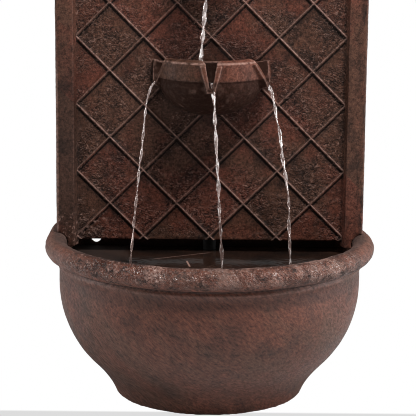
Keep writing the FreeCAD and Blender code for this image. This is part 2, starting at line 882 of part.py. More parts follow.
def make_clips():
    """Snap clips, bonded to the back of the panel, that hold the tube."""
    clips = []
    for rise in clip_heights:
        z = rim_centre_z + rise
        base = box(
            -clip_base_length / 2,
            clip_base_length / 2,
            skin_back_y,
            skin_back_y + clip_base_thick,
            z - clip_width / 2,
            z + clip_width / 2,
        )
        centre = V(0, tube_y, z - clip_width / 2)
        web = box(-clip_web / 2, clip_web / 2, skin_back_y, tube_y, z - clip_width / 2, z + clip_width / 2)
        ring = rod(tube_outer + clip_wall, centre, Z_AXIS, clip_width)
        half = tube_outer * clip_mouth_share
        mouth = box(-half, half, tube_y, tube_y + 2 * tube_outer, z - clip_width, z + clip_width)
        clip = fuse(base, web, ring).cut(rod(tube_outer, centre, Z_AXIS, clip_width)).cut(mouth)
        clips.append(clip)
    return clips


# The pump lies along X: strainer to the left, motor to the right, outlet over the chamber
pump_bottom = basin_floor + cup_height
rotor_z = pump_bottom + pump_height / 2
chamber_x0 = -chamber_length / 2
chamber_x1 = chamber_length / 2
magnet_x0 = chamber_x1 + end_play
bush_x0 = magnet_x0 + magnet_length + end_play
impeller_x1 = chamber_x1 - end_play
impeller_x0 = impeller_x1 - impeller_disc - vane_height
strainer_x0 = chamber_x0 - strainer_front


def nipple_top():
    return rotor_z + outlet_top + nipple_flange_thick


def on_rotor(x):
    return V(x, pump_y, rotor_z)


def cup_places():
    xs = (chamber_x1 + cup_inset, chamber_x1 + motor_length - cup_inset)
    ys = (pump_y - pump_width / 2 + cup_inset, pump_y + pump_width / 2 - cup_inset)
    return [(x, y) for x in xs for y in ys]


def make_pump_housing():
    """The potted motor block, with a blind well for the rotor and sockets for the suction cups."""
    half = pump_width / 2
    block = box(
        chamber_x1,
        chamber_x1 + motor_length,
        pump_y - half,
        pump_y + half,
        pump_bottom,
        pump_bottom + pump_height,
    )
    along = [e for e in block.Edges if abs(e.tangentAt(e.FirstParameter).x) > 0.9]
    block = block.makeFillet(pump_corner, along)
    well_radius = magnet_radius + magnet_clearance
    block = block.cut(rod(well_radius, on_rotor(chamber_x1 - 1), X_AXIS, bush_x0 - chamber_x1 + 1))
    block = block.cut(rod(bush_radius, on_rotor(chamber_x1), X_AXIS, bush_x0 + bush_length - chamber_x1))
    for x, y in cup_places():
        block = block.cut(rod(cup_neck, V(x, y, pump_bottom - 1), Z_AXIS, cup_neck_up + 1))
    rear = chamber_x1 + motor_length
    block = block.cut(rod(gland_bore, V(rear - cable_well, pump_y, gland_z()), X_AXIS, cable_well + 1))
    return block


def gland_z():
    return pump_bottom + pump_height - gland_drop


def make_gland():
    start = V(chamber_x1 + motor_length, pump_y, gland_z())
    collar = rod(gland_radius, start, X_AXIS, gland_collar)
    shoulder = start + X_AXIS * gland_collar
    narrow = gland_radius - gland_taper
    taper = Part.makeCone(narrow, gland_bore + 1, gland_length - gland_collar, shoulder, X_AXIS)
    return collar.fuse(taper).cut(rod(gland_bore, start, X_AXIS, gland_length)).removeSplitter()


def make_cups():
    cups = []
    collar_radius = cup_neck + cup_collar
    skirt_height = cup_height - cup_collar_height
    for x, y in cup_places():
        foot = V(x, y, basin_floor)
        skirt = Part.makeCone(cup_radius, collar_radius, skirt_height, foot, Z_AXIS)
        collar = rod(collar_radius, foot + V(0, 0, skirt_height), Z_AXIS, cup_collar_height)
        neck = rod(cup_neck, V(x, y, pump_bottom), Z_AXIS, cup_neck_up)
        hollow_height = skirt_height - cup_collar_height
        hollow = Part.makeCone(cup_radius - cup_lip, cup_collar, hollow_height, foot, Z_AXIS)
        cups.append(fuse(skirt, collar, neck).cut(hollow))
    return cups


def make_chamber():
    """The impeller chamber: a cup with an inlet eye, a spider for the front bush and a side outlet."""
    length = chamber_length - gasket_thick
    cup = rod(chamber_radius + chamber_wall, on_rotor(chamber_x0), X_AXIS, length)
    flange = rod(chamber_flange, on_rotor(chamber_x0 + length - chamber_face), X_AXIS, chamber_face)
    stack = rod(outlet_outer, V(0, tube_y, rotor_z), Z_AXIS, outlet_top)
    body = fuse(cup, flange, stack)
    body = body.cut(rod(chamber_radius, on_rotor(chamber_x0 + chamber_face), X_AXIS, length))
    body = body.cut(rod(outlet_bore, V(0, tube_y, rotor_z), Z_AXIS, outlet_top + 1))
    eye = rod(inlet_radius, on_rotor(chamber_x0 - 1), X_AXIS, chamber_face + 2)
    spider = [rod(front_bush_radius + chamber_wall / 2, on_rotor(chamber_x0), X_AXIS, chamber_face)]
    for i in range(spider_arms):
        arm = box(
            chamber_x0,
            chamber_x0 + chamber_face,
            pump_y - chamber_wall / 2,
            pump_y + chamber_wall / 2,
            rotor_z,
            rotor_z + inlet_radius + 1,
        )
        arm.rotate(on_rotor(0), X_AXIS, 360 / spider_arms * i)
        spider.append(arm)
    body = body.cut(eye).fuse(fuse(*spider))
    return body.cut(rod(front_bush_radius, on_rotor(chamber_x0), X_AXIS, chamber_face)).removeSplitter()


def make_gasket():
    return pipe(chamber_flange, chamber_radius, on_rotor(chamber_x1 - gasket_thick), X_AXIS, gasket_thick)


def make_bushes():
    front = pipe(front_bush_radius, shaft_radius, on_rotor(chamber_x0), X_AXIS, chamber_face)
    back = pipe(bush_radius, shaft_radius, on_rotor(bush_x0), X_AXIS, bush_length)
    return [front, back]


def make_shaft():
    return rod(shaft_radius, on_rotor(chamber_x0), X_AXIS, bush_x0 + bush_length - chamber_x0)


def make_magnet():
    return pipe(magnet_radius, shaft_radius + shaft_clearance, on_rotor(magnet_x0), X_AXIS, magnet_length)


def make_impeller():
    """A disc with straight vanes on its inlet side and a hub that meets the magnet."""
    radius = chamber_radius - impeller_clearance
    disc_x = impeller_x1 - impeller_disc
    disc = rod(radius, on_rotor(disc_x), X_AXIS, impeller_disc)
    hub = rod(impeller_hub, on_rotor(impeller_x0), X_AXIS, magnet_x0 - impeller_x0)
    vanes = []
    for i in range(vane_count):
        vane = box(
            impeller_x0,
            disc_x,
            pump_y - vane_thick / 2,
            pump_y + vane_thick / 2,
            rotor_z + impeller_hub - 1,
            rotor_z + radius - vane_thick / 4,
        )
        vane.rotate(on_rotor(0), X_AXIS, 360 / vane_count * i)
        vanes.append(vane)
    wheel = fuse(disc, hub, *vanes)
    through = magnet_x0 - impeller_x0 + 2
    bore = rod(shaft_radius + shaft_clearance, on_rotor(impeller_x0 - 1), X_AXIS, through)
    return wheel.cut(bore)


def make_strainer():
    """A slotted box that slides over the chamber; a slot in its top clears the outlet."""
    half = pump_width / 2
    wall = strainer_wall
    top = pump_bottom + pump_height
    outer = box(strainer_x0, chamber_x1, pump_y - half, pump_y + half, pump_bottom, top)
    long_edges = [e for e in outer.Edges if abs(e.tangentAt(e.FirstParameter).x) > 0.9]
    outer = outer.makeFillet(pump_corner, long_edges)
    inner = box(
        strainer_x0 + wall,
        chamber_x1 + 1,
        pump_y - half + wall,
        pump_y + half - wall,
        pump_bottom + wall,
        pump_bottom + pump_height - wall,
    )
    long_edges = [e for e in inner.Edges if abs(e.tangentAt(e.FirstParameter).x) > 0.9]
    shell = outer.cut(inner.makeFillet(pump_corner - wall, long_edges))
    clear = outlet_outer + slide_clearance
    shell = shell.cut(rod(clear, V(0, tube_y, rotor_z), Z_AXIS, pump_height))
    shell = shell.cut(box(0, chamber_x1 + 1, tube_y - clear, tube_y + clear, rotor_z, rotor_z + pump_height))
    tall = pump_height / 2 - pump_corner
    spindle_boss = rod(dial_spindle + wall, on_rotor(strainer_x0 - 2), X_AXIS, wall + 4)
    across = int(2 * tall / strainer_slot_pitch)
    for i in range(across):
        y = pump_y + (i - (across - 1) / 2) * strainer_slot_pitch
        cut = box(
            strainer_x0 - 1,
            strainer_x0 + wall + 1,
            y - strainer_slot / 2,
            y + strainer_slot / 2,
            rotor_z - tall,
            rotor_z + tall,
        )
        shell = shell.cut(cut.cut(spindle_boss))
    along = int((strainer_front - 2 * wall) / strainer_slot_pitch)
    for i in range(along):
        x = strainer_x0 + 2 * wall + i * strainer_slot_pitch
        cut = box(x, x + strainer_slot, pump_y - half - 1, pump_y + half + 1, rotor_z - tall, rotor_z + tall)
        shell = shell.cut(cut)
    return shell.cut(rod(dial_spindle + dial_clearance, on_rotor(strainer_x0 - 1), X_AXIS, wall + 2))


def make_foam():
    """The filter foam fills the strainer ahead of the chamber, touching its four sides."""
    half = pump_width / 2 - strainer_wall
    x1 = chamber_x0 - foam_gap
    foam = box(
        x1 - foam_thick,
        x1,
        pump_y - half,
        pump_y + half,
        pump_bottom + strainer_wall,
        pump_bottom + pump_height - strainer_wall,
    )
    long_edges = [e for e in foam.Edges if abs(e.tangentAt(e.FirstParameter).x) > 0.9]
    return foam.makeFillet(pump_corner - strainer_wall, long_edges)


def make_dial():
    """The flow dial: a disc with windows and a finger rib outside, on a spindle with a catch inside."""
    face = strainer_x0
    back = face - dial_gap - dial_thick
    inside = face + strainer_wall + dial_gap
    disc = rod(dial_radius, on_rotor(back), X_AXIS, dial_thick)
    spindle = rod(dial_spindle, on_rotor(back), X_AXIS, inside - back + dial_catch_thick)
    catch = rod(dial_spindle + dial_catch, on_rotor(inside), X_AXIS, dial_catch_thick)
    grip = box(
        back - dial_grip,
        back,
        pump_y - dial_grip / 2,
        pump_y + dial_grip / 2,
        rotor_z - dial_radius + 1,
        rotor_z + dial_radius - 1,
    )
    dial = fuse(disc, spindle, catch, grip)
    for side in (-1, 1):
        start = V(back - 1, pump_y + side * dial_radius * dial_window_ring, rotor_z)
        window = rod(dial_window, start, X_AXIS, dial_thick + 2)
        dial = dial.cut(window)
    return dial


def make_nipple():
    """The stepped hose tail that sits on the pump's outlet."""
    base = rotor_z + outlet_top
    flange = rod(nipple_flange, V(0, tube_y, base), Z_AXIS, nipple_flange_thick)
    plug = rod(outlet_bore, V(0, tube_y, base - nipple_plug), Z_AXIS, nipple_plug)
    tail = rod(tube_inner - barb_clearance, V(0, tube_y, base + nipple_flange_thick), Z_AXIS, barb_length)
    body = fuse(flange, plug, tail)
    length = nipple_plug + nipple_flange_thick + barb_length
    return body.cut(rod(outlet_bore - nipple_wall, V(0, tube_y, base - nipple_plug - 1), Z_AXIS, length + 2))


def make_drain_plug():
    """A tapered stopper with a flange on the basin's floor and a pull ring."""
    y = axis_y - drain_forward
    stem = rod(drain_radius - plug_clearance, V(0, y, plug_recess), Z_AXIS, basin_floor - plug_recess)
    flange = rod(plug_flange, V(0, y, basin_floor + plug_gap), Z_AXIS, plug_flange_thick)
    neck = rod(drain_radius - plug_clearance, V(0, y, basin_floor), Z_AXIS, plug_gap)
    centre = V(0, y, basin_floor + plug_flange_thick + plug_ring_radius)
    ring = Part.makeTorus(plug_ring_radius, plug_ring_wire, centre, X_AXIS)
    return fuse(stem, neck, flange, ring)


def write(name, shapes):
    shapes = shapes if isinstance(shapes, list) else [shapes]
    solids = [s for shape in shapes for s in shape.Solids]
    for solid in solids:
        if not solid.isValid():
            print("invalid solid in", name)
    result = solids[0] if len(solids) == 1 else Part.makeCompound(solids)
    result.exportStep(os.path.join("parts", name + ".step"))
    size = result.BoundBox
    print(f"{name}: {len(solids)} solid(s), {sum(s.Volume for s in solids) / 1000:.1f} cm3, "
          f"z {size.ZMin:.1f} to {size.ZMax:.1f}")


def main():
    os.makedirs("parts", exist_ok=True)
    write("basin", make_basin())
    write("wall_panel", make_panel())
    write("lower_spill_bowl", make_bowl(LOWER_BOWL))
    write("upper_spill_bowl", make_bowl(UPPER_BOWL))
    studs, washers, nuts = stud_sets()
    write("bowl_studs", studs)
    write("bowl_washers", washers)
    write("bowl_nuts", nuts)
    screws, inserts = make_fixings()
    write("panel_screws", screws)
    write("panel_inserts", inserts)
    plates, hanger_screws = make_hangers()
    write("hanger_plates", plates)
    write("hanger_screws", hanger_screws)
    write("spout_elbow", make_spout())
    write("spout_nut", make_spout_nut())
    write("riser_tube", make_tube())
    write("hose_clamps", make_clamps())
    write("tube_clips", make_clips())
    write("pump_housing", make_pump_housing())
    write("cable_gland", make_gland())
    write("suction_cups", make_cups())
    write("impeller_chamber", make_chamber())
    write("chamber_gasket", make_gasket())
    write("rotor_bushes", make_bushes())
    write("rotor_shaft", make_shaft())
    write("rotor_magnet", make_magnet())
    write("impeller", make_impeller())
    write("pump_strainer", make_strainer())
    write("filter_foam", make_foam())
    write("flow_dial", make_dial())
    write("outlet_nipple", make_nipple())
    write("drain_plug", make_drain_plug())


main()
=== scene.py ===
"""A garden wall fountain of cast resin: a half-round basin, a lattice panel, two spill bowls and a pump."""

import math

import bpy
import numpy as np
from mathutils import Euler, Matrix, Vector


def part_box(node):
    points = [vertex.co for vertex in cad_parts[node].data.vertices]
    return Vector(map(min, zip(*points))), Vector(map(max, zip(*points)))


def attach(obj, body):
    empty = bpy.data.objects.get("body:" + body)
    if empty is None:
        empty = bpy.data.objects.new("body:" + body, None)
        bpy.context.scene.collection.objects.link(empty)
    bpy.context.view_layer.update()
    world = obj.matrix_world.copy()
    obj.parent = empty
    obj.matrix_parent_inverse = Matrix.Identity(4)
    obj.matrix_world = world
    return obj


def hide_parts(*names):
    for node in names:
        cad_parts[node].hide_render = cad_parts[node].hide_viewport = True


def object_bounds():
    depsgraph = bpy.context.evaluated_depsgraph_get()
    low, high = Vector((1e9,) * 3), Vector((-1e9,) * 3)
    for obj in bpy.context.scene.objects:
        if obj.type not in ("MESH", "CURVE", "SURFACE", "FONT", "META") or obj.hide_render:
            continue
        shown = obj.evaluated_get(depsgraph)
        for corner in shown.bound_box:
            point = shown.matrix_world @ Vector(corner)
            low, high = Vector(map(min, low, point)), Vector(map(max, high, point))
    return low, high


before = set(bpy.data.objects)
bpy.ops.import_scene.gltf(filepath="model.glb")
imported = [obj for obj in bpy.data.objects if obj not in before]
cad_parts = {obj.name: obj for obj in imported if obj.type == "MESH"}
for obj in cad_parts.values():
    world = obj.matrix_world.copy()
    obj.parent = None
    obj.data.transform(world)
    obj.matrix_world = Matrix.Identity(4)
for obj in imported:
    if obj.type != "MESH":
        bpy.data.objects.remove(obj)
cad_low, cad_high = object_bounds()

# The viewpoint. The fountain was photographed from a little over two metres away, from above its
# middle and looking slightly down, with the picture cut off above the lower bowl.
face_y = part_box("wall_panel")[0].y
view_distance = 2.1
view_height = 0.655
view_down = 11.25
view_roll = 0.5
view_side = -0.0024
frame_pixels = 416
focal_pixels = 1676.0
camera_data = bpy.data.cameras.new("viewpoint")
camera_data.sensor_width = 36.0
camera_data.lens = camera_data.sensor_width * focal_pixels / frame_pixels
camera = bpy.data.objects.new("viewpoint", camera_data)
camera.location = (view_side, face_y - view_distance, view_height)
turn = Euler((math.radians(90 - view_down), 0, 0)).to_matrix()
roll = Euler((0, 0, math.radians(view_roll))).to_matrix()
camera.rotation_euler = (turn @ roll).to_euler()
bpy.context.scene.collection.objects.link(camera)
bpy.context.scene.camera = camera


# The floor and the studio. White paper under the fountain, with painted shade as a grey strip under
# its front that fades towards the viewer, a dim white room, and soft lamps above and at both sides.
def build(tree, kind, values=None, **settings):
    """Adds a node, sets its settings and its inputs, and joins the inputs that are given a socket."""
    node = tree.nodes.new(kind)
    for name, value in settings.items():
        setattr(node, name, value)
    for name, value in (values or {}).items():
        if isinstance(value, bpy.types.NodeSocket):
            tree.links.new(value, node.inputs[name])
        else:
            node.inputs[name].default_value = value
    return node


def ramp(tree, value, start, end, low=0.0, high=1.0):
    """Goes from low to high as the value goes from start to end, and stays there beyond them."""
    return build(tree, "ShaderNodeMapRange", {0: value, 1: start, 2: end, 3: low, 4: high}).outputs[0]


def maths(tree, operation, first, second=0.0, third=0.0):
    return build(tree, "ShaderNodeMath", {0: first, 1: second, 2: third}, operation=operation).outputs[0]


def object_place(tree):
    return build(tree, "ShaderNodeTexCoord").outputs["Object"]


def three_axes(tree, vector):
    return build(tree, "ShaderNodeSeparateXYZ", {0: vector}).outputs


def new_material(name):
    """An empty node material, ready for one shader."""
    made = bpy.data.materials.new(name)
    made.use_nodes = True
    made.node_tree.nodes.clear()
    return made, made.node_tree


def finish_material(tree, shader):
    build(tree, "ShaderNodeOutputMaterial", {"Surface": shader.outputs[0]})


floor_reach = 3.0
painted_shade_grey = 0.72
corners = [(i * floor_reach, j * floor_reach, 0) for i, j in ((-1, -1), (1, -1), (1, 1), (-1, 1))]
floor_mesh = bpy.data.meshes.new("floor")
floor_mesh.from_pydata(corners, [], [(0, 1, 2, 3)])
floor = bpy.data.objects.new("floor", floor_mesh)
bpy.context.scene.collection.objects.link(floor)
paper, tree = new_material("floor_paper")
y = three_axes(tree, object_place(tree))[1]
# The grey is painted shade on the paper, seen by the camera alone
shade_under_front = ramp(tree, y, -0.034, -0.028, painted_shade_grey, 1.0)
shade_towards_viewer = ramp(tree, y, -0.06, -0.3, painted_shade_grey, 1.0)
paper_level = maths(tree, "MAXIMUM", shade_under_front, shade_towards_viewer)
paper_white = build(tree, "ShaderNodeEmission", {"Strength": paper_level})
paper_matt = build(tree, "ShaderNodeBsdfDiffuse", {"Color": (0.8, 0.8, 0.8, 1)})
paper_seen = build(tree, "ShaderNodeLightPath").outputs["Is Camera Ray"]
paper_parts = {0: paper_seen, 1: paper_matt.outputs[0], 2: paper_white.outputs[0]}
finish_material(tree, build(tree, "ShaderNodeMixShader", paper_parts))
floor_mesh.materials.append(paper)

room_level = 0.13
world = bpy.data.worlds.new("studio")
world.use_nodes = True
bpy.context.scene.world = world
tree = world.node_tree
tree.nodes.clear()
sky_seen = build(tree, "ShaderNodeLightPath").outputs["Is Camera Ray"]
sky_level = ramp(tree, sky_seen, 0.0, 1.0, room_level, 1.0)
sky = build(tree, "ShaderNodeBackground", {"Color": (1, 1, 1, 1), "Strength": sky_level})
build(tree, "ShaderNodeOutputWorld", {"Surface": sky.outputs[0]})


def softbox(name, place, aim, size, power):
    """A square lamp that faces a point on the fountain."""
    data = bpy.data.lights.new(name, "AREA")
    data.size = size
    data.energy = power
    lamp = bpy.data.objects.new(name, data)
    lamp.location = place
    lamp.rotation_euler = (Vector(aim) - Vector(place)).to_track_quat("-Z", "Y").to_euler()
    bpy.context.scene.collection.objects.link(lamp)


softbox("lamp_above", place=(0.55, -0.85, 2.1), aim=(0, 0.02, 0.3), size=0.6, power=42.0)
softbox("lamp_right", place=(2.1, 0.15, 0.7), aim=(0, 0, 0.2), size=1.0, power=30.0)
softbox("lamp_left", place=(-2.1, 0.15, 0.7), aim=(0, 0, 0.2), size=1.0, power=22.0)

bpy.context.scene.view_settings.view_transform = "Standard"
bpy.context.scene.cycles.filter_width = 1.0


# The castings' finish. Red-brown resin under dark bronze paint, rubbed back to a pinkish brown on
# what stands proud, left nearly black in the hollows, and streaked by the brush.
def product(tree, *factors):
    total = factors[0]
    for factor in factors[1:]:
        total = maths(tree, "MULTIPLY", total, factor)
    return total


def highest(tree, *marks):
    most = marks[0]
    for mark in marks[1:]:
        most = maths(tree, "MAXIMUM", most, mark)
    return most


def mixed(tree, share, first, second):
    return build(tree, "ShaderNodeMix", {0: share, 6: first, 7: second}, data_type="RGBA").outputs[2]


def noise(tree, vector, scale, detail=2.0, roughness=0.5, distortion=0.0):
    values = {"Vector": vector, "Scale": scale, "Detail": detail, "Roughness": roughness}
    values["Distortion"] = distortion
    return build(tree, "ShaderNodeTexNoise", values).outputs[0]


def mottle(tree, vector, grain, span, levels=(0.0, 1.0)):
    """Patches that come and go: noise of a scale, detail and roughness, with its span spread to levels."""
    return ramp(tree, noise(tree, vector, *grain), *span, *levels)


def stretched(tree, vector, scales):
    return build(tree, "ShaderNodeVectorMath", {0: vector, 1: scales}, operation="MULTIPLY").outputs[0]


def bronze_group():
    """Colour, roughness and fine height of the painted resin, from its place and the marks it is given."""
    group = bpy.data.node_groups.new("weathered_bronze", "ShaderNodeTree")
    for way, kind, names in (
        ("INPUT", "NodeSocketColor", ("Base", "Red", "Dark", "Light")),
        ("INPUT", "NodeSocketVector", ("Place",)),
        ("INPUT", "NodeSocketFloat", ("Patch scale", "Dark share", "Contrast", "Tone")),
        # Soot and shade darkens: soot, and painted shade where a casting gives it. Rub and highlight
        # lightens: rubbed paint, and painted highlights where a casting gives them.
        ("INPUT", "NodeSocketFloat", ("Soot and shade", "Rub and highlight", "Edge rub", "Wet")),
        ("OUTPUT", "NodeSocketColor", ("Color",)),
        ("OUTPUT", "NodeSocketFloat", ("Roughness", "Height")),
    ):
        for name in names:
            group.interface.new_socket(name, in_out=way, socket_type=kind)
    given = build(group, "NodeGroupInput").outputs
    relief = build(group, "ShaderNodeAttribute", attribute_name="relief").outputs["Fac"]
    pointed = build(group, "ShaderNodeNewGeometry").outputs["Pointiness"]
    # The paint's two browns and its dark blots
    patches = noise(group, given["Place"], given["Patch scale"], 5.0, 0.6)
    toned = maths(group, "MULTIPLY_ADD", given["Tone"], 0.2, patches)
    browns = mixed(group, ramp(group, toned, 0.42, 0.6), given["Base"], given["Red"])
    blot_place = stretched(group, object_place(group), (1.9, 1.9, 1.6))
    blots = mottle(group, blot_place, (given["Patch scale"], 6.0, 0.65), (0.5, 0.66))
    blotted = mixed(group, product(group, blots, given["Dark share"]), browns, given["Dark"])
    # Brush strokes and a fine grain make it lighter and darker
    darkest_grain = 0.12
    strokes = noise(group, given["Place"], 270.0, 4.0, 0.65)
    grain = noise(group, given["Place"], 640.0, 3.0, 0.6)
    stroke_level = ramp(group, strokes, 0.32, 0.68, -1.0, 1.0)
    uneven = maths(group, "ADD", stroke_level, ramp(group, grain, 0.32, 0.68, -0.7, 0.7))
    level = maths(group, "MULTIPLY_ADD", uneven, given["Contrast"], 1.0)
    lightness = highest(group, level, darkest_grain)
    stroked = build(group, "ShaderNodeVectorMath", {0: blotted, "Scale": lightness}, operation="SCALE")
    # Hollows stay dark, crests are rubbed, and the painted shade and painted highlights given come in here
    sharp_hollow = ramp(group, pointed, 0.495, 0.455, 0.0, 0.85)
    deep_hollow = ramp(group, relief, -0.25, -1.1, 0.0, 0.6)
    hollow = highest(group, sharp_hollow, given["Soot and shade"], deep_hollow)
    shaded = mixed(group, hollow, stroked.outputs[0], given["Dark"])
    sharp_crest = product(group, ramp(group, pointed, 0.512, 0.56, 0.0, 0.8), given["Edge rub"])
    high_crest = ramp(group, relief, 0.35, 1.3, 0.0, 0.5)
    crest = highest(group, sharp_crest, given["Rub and highlight"], high_crest)
    crest = product(group, crest, ramp(group, strokes, 0.36, 0.58, 0.35, 1.0))
    coloured = mixed(group, crest, shaded, given["Light"])
    # Water smooths the paint, and hollows, soot and painted shade keep it rough
    dry_rough = ramp(group, strokes, 0.3, 0.7, 0.66, 0.44)
    wet_rough = product(group, dry_rough, maths(group, "MULTIPLY_ADD", given["Wet"], -0.78, 1.0))
    rough = highest(group, wet_rough, product(group, hollow, 0.95))
    height = maths(group, "MULTIPLY_ADD", grain, 0.45, product(group, strokes, 0.8))
    build(group, "NodeGroupOutput", {"Color": coloured, "Roughness": rough, "Height": height})
    return group


weathered = bronze_group()


def bronze_skin(tree, marks, bump, shine, extra_height=0.0):
    """The painted resin in one material: its own colours and marks, and a bump of its grain."""
    finish = build(tree, "ShaderNodeGroup", marks, node_tree=weathered)
    height = maths(tree, "ADD", finish.outputs["Height"], extra_height)
    relief = build(tree, "ShaderNodeBump", {"Strength": bump, "Distance": 0.001, "Height": height})
    skin_values = {
        "Base Color": finish.outputs["Color"],
        "Roughness": finish.outputs["Roughness"],
        "Normal": relief.outputs[0],
        "Specular IOR Level": shine,
    }
    finish_material(tree, build(tree, "ShaderNodeBsdfPrincipled", skin_values))


# The castings' surface. Each casting is copied from its solid, given an even fine mesh, softened as
# a mould softens its edges, and pushed in and out by the marks of the hand-worked pattern.
def lattice_noise(points, seed):
    """Smooth random values from -1 to 1 at each point, one unit between the lattice's corners."""
    cell = np.floor(points).astype(np.int64)
    inside = points - cell
    ease = inside * inside * (3 - 2 * inside)
    total = np.zeros(len(points))
    for corner in range(8):
        offset = np.array([corner & 1, corner >> 1 & 1, corner >> 2 & 1])
        at = (cell + offset).astype(np.uint64)
        # Large primes turn the corner's place and the seed into an evenly random value
        key = at[:, 0] * np.uint64(73856093) ^ at[:, 1] * np.uint64(19349663) ^ at[:, 2] * np.uint64(83492791)
        key = (key + np.uint64(seed)) * np.uint64(2654435761) & np.uint64(0xFFFFFFFF)
        key = (key ^ key >> np.uint64(15)) * np.uint64(2246822519) & np.uint64(0xFFFFFFFF)
        value = (key >> np.uint64(8)).astype(float) / float(1 << 24) * 2 - 1
        share = np.where(offset, ease, 1 - ease).prod(axis=1)
        total += value * share
    return total


def casting_mesh(node, cell, soften):
    """The node's solid as an even fine mesh with softened edges."""
    shape = bpy.data.objects.new(node + "_raw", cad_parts[node].data.copy())
    bpy.context.scene.collection.objects.link(shape)
    fine = shape.modifiers.new("fine", "REMESH")
    fine.mode = "VOXEL"
    fine.voxel_size = cell
    fine.use_smooth_shade = True
    smooth = shape.modifiers.new("soften", "SMOOTH")
    smooth.factor = 0.5
    smooth.iterations = soften
    graph = bpy.context.evaluated_depsgraph_get()
    made = bpy.data.meshes.new_from_object(shape.evaluated_get(graph))
    bpy.data.objects.remove(shape)
    made.name = node
    made.materials.clear()
    return made


def mesh_arrays(mesh):
    points = np.zeros(len(mesh.vertices) * 3)
    mesh.vertices.foreach_get("co", points)
    normals = np.zeros(len(mesh.vertices) * 3)
    mesh.vertices.foreach_get("normal", normals)
    return points.reshape(-1, 3), normals.reshape(-1, 3)


def press_relief(mesh, points, normals, depth, marks):
    """Moves each point along its normal by marks times depth, within the solids' box, and keeps the marks."""
    moved = np.clip(points + normals * (depth * marks)[:, None], cad_low, cad_high)
    mesh.vertices.foreach_set("co", moved.ravel())
    kept = mesh.attributes.new("relief", "FLOAT", "POINT")
    kept.data.foreach_set("value", marks.astype(np.float32))
    mesh.update()


# The basin. One thick resin casting with a bullnose rim, trowelled by hand, so its belly carries
# fine slanting strokes. The rim is crackled, lumpy and wet at the front, and higher at its left end.
def rise(values, start, end):
    """Goes from 0 to 1 as the values go from start to end."""
    return np.clip((values - start) / (end - start), 0, 1)


def stripe(tree, value, centre, core, edge, strength=1.0):
    """A mark where a value is near its centre: full as far as the core, and gone at the edge."""
    away = maths(tree, "ABSOLUTE", maths(tree, "SUBTRACT", value, centre))
    return ramp(tree, away, core, edge, strength, 0.0)


def distance_from(tree, place, point, scales):
    """How far a place is from a point, with each axis scaled. A scale of 0 leaves its axis out."""
    scaled_point = tuple(part * scale for part, scale in zip(point, scales))
    values = {0: stretched(tree, place, scales), 1: scaled_point}
    return build(tree, "ShaderNodeVectorMath", values, operation="DISTANCE").outputs["Value"]


def add_piece(name, mesh, body, material):
    piece = bpy.data.objects.new(name, mesh)
    bpy.context.scene.collection.objects.link(piece)
    mesh.materials.append(material)
    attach(piece, body)
    return piece


rim_low = 0.177
rim_high = 0.187
rim_inside = 0.196
rim_groove = 0.15
back_inside = 0.1285
left_end_lift = 0.0065
streak_height = 0.184
sheen_patch_x = -0.063
basin_cell = 0.0022
basin_mesh = casting_mesh("basin", basin_cell, soften=2)
basin_points, basin_normals = mesh_arrays(basin_mesh)
basin_x, basin_y, basin_z = basin_points.T
on_rim = rise(basin_z, rim_low, rim_high)
broad = lattice_noise(basin_points / 0.03, seed=3)
lumps = lattice_noise(basin_points / np.array([0.011, 0.011, 0.008]), seed=5)
fine_lumps = lattice_noise(basin_points / 0.0055, seed=7)
basin_marks = 0.3 * broad + lumps * (0.12 + 0.35 * on_rim) + fine_lumps * (0.06 + 0.4 * on_rim)
left_end = rise(basin_x, -0.178, -0.19) * rise(basin_y, 0.088, 0.118) * on_rim
basin_points[:, 2] += left_end_lift * left_end * rise(basin_z, 0.215, 0.207)
press_relief(basin_mesh, basin_points, basin_normals, depth=0.0008, marks=basin_marks)

basin_paint, tree = new_material("basin_paint")
place = object_place(tree)
x, y, z = three_axes(tree, place)
front = ramp(tree, y, 0.0, -0.06)
rim_top = ramp(tree, z, rim_low + 0.001, rim_high + 0.001)
front_rim = product(tree, front, rim_top)
# The front of the rim holds puddles over its crackled paint
puddles = mottle(tree, stretched(tree, place, (1.0, 1.0, 1.8)), (42.0, 3.0, 0.6), (0.46, 0.58))
wet = product(tree, puddles, front_rim)
crackle = build(tree, "ShaderNodeTexVoronoi", {"Vector": place, "Scale": 330.0}, feature="DISTANCE_TO_EDGE")
crackled = product(tree, ramp(tree, crackle.outputs[0], 0.0, 0.25, -1.2, 0.6), front_rim)
# What is nearly black: the rim's blots and a streak on its right end, and painted shade on its inner
# edge, in the groove under it, on the foot of the belly, and on the wall behind the water
rim_blots = product(
    tree,
    mottle(tree, stretched(tree, place, (1.0, 1.0, 1.6)), (75.0, 6.0, 0.8), (0.5, 0.6), (0.0, 0.95)),
    ramp(tree, z, 0.168, 0.18),
    ramp(tree, y, 0.0, -0.05, 0.35, 1.0),
)
right_end_streak = product(
    tree,
    stripe(tree, z, streak_height, 0.003, 0.0065, 0.85),
    ramp(tree, x, 0.09, 0.12),
    ramp(tree, y, 0.06, 0.02),
    mottle(tree, place, (120.0, 4.0, 0.7), (0.4, 0.56)),
)
# Painted shade on the inner back wall behind the water
back_wall_shade = product(
    tree,
    ramp(tree, y, 0.088, 0.096, 0.0, 0.93),
    ramp(tree, y, back_inside + 0.002, back_inside),
    stripe(tree, x, 0.0, 0.164, 0.172),
    ramp(tree, z, 0.12, 0.13),
)
from_axis = distance_from(tree, place, (0.0, face_y, 0.0), (1.0, 1.0, 0.0))
# Painted shade along the rim's inner edge, which also takes its rubbed edge away
inner_edge_shade = product(tree, ramp(tree, from_axis, rim_inside + 0.007, rim_inside, 0.0, 0.85), rim_top)
# Painted shade on the foot of the belly
foot_shade = product(tree, ramp(tree, z, 0.13, 0.05, 0.0, 0.3), ramp(tree, z, 0.012, 0.03))
# Painted shadow in the groove under the rim
above_groove = ramp(tree, z, rim_groove - 0.002, rim_groove + 0.002)
groove_shadow = product(tree, above_groove, ramp(tree, z, 0.178, 0.166, 0.0, 0.28))
